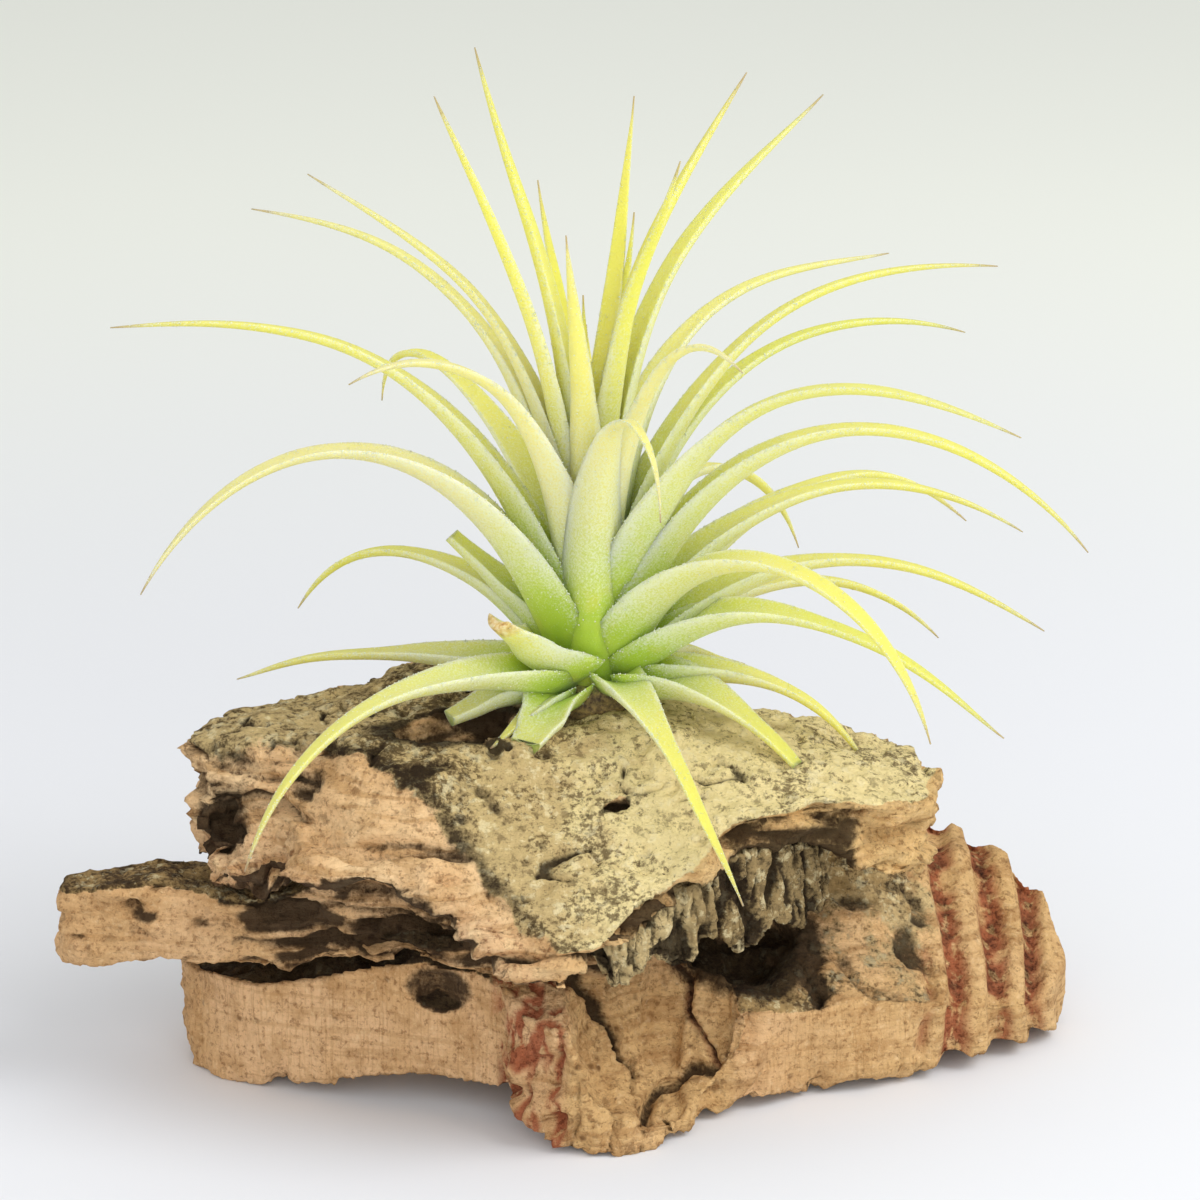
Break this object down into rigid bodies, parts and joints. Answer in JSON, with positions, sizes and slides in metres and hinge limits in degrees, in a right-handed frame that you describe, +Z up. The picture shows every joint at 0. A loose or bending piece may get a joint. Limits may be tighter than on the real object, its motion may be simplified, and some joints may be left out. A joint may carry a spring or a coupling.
{
  "type": "air plant",
  "caption": "Rosette of narrow arching leaves on a short stem, resting on a stack of cork bark pieces.",
  "frame": {"origin": "on the table, under the middle of the whole object's box", "axes": "+Z up, -Y towards the viewer in front, +X to the viewer's right"},
  "size_m": [0.1134, 0.0808, 0.1137],
  "materials": {
    "cut_cork": "dry, sawn and broken cork, matt",
    "weathered_cork": "weathered outer bark with dark specks, matt",
    "furrowed_cork": "furrowed, partly blackened bark, matt",
    "leaf": "pale green under fine silvery scales, soft matt",
    "stem": "matt green"
  },
  "bodies": {
    "root": {"cork_lower_slab": "cut_cork", "cork_middle_plank": "cut_cork", "cork_furrowed_flake": "furrowed_cork", "cork_upper_slab": "weathered_cork", "stem": "stem", "upright_leaf_01": "leaf", "upright_leaf_02": "leaf", "upright_leaf_03": "leaf", "upright_leaf_04": "leaf", "upright_leaf_05": "leaf", "upright_leaf_06": "leaf", "upright_leaf_07": "leaf", "upright_leaf_08": "leaf", "upright_leaf_09": "leaf", "upright_leaf_10": "leaf", "upright_leaf_11": "leaf", "arching_leaf_01": "leaf", "arching_leaf_02": "leaf", "arching_leaf_03": "leaf", "arching_leaf_04": "leaf", "arching_leaf_05": "leaf", "arching_leaf_06": "leaf", "arching_leaf_07": "leaf", "arching_leaf_08": "leaf", "arching_leaf_09": "leaf", "arching_leaf_10": "leaf", "arching_leaf_11": "leaf", "arching_leaf_12": "leaf", "arching_leaf_13": "leaf", "arching_leaf_14": "leaf", "arching_leaf_15": "leaf", "arching_leaf_16": "leaf", "arching_leaf_17": "leaf", "arching_leaf_18": "leaf", "arching_leaf_19": "leaf", "arching_leaf_20": "leaf", "arching_leaf_21": "leaf", "arching_leaf_22": "leaf", "arching_leaf_23": "leaf", "arching_leaf_24": "leaf", "lower_leaf_01": "leaf", "lower_leaf_02": "leaf", "lower_leaf_03": "leaf", "lower_leaf_04": "leaf", "lower_leaf_05": "leaf", "lower_leaf_06": "leaf", "lower_leaf_07": "leaf", "snipped_leaf_01": "leaf", "snipped_leaf_02": "leaf", "snipped_leaf_03": "leaf", "snipped_leaf_04": "leaf", "snipped_leaf_05": "leaf", "snipped_leaf_06": "leaf"}
  },
  "joints": []
}
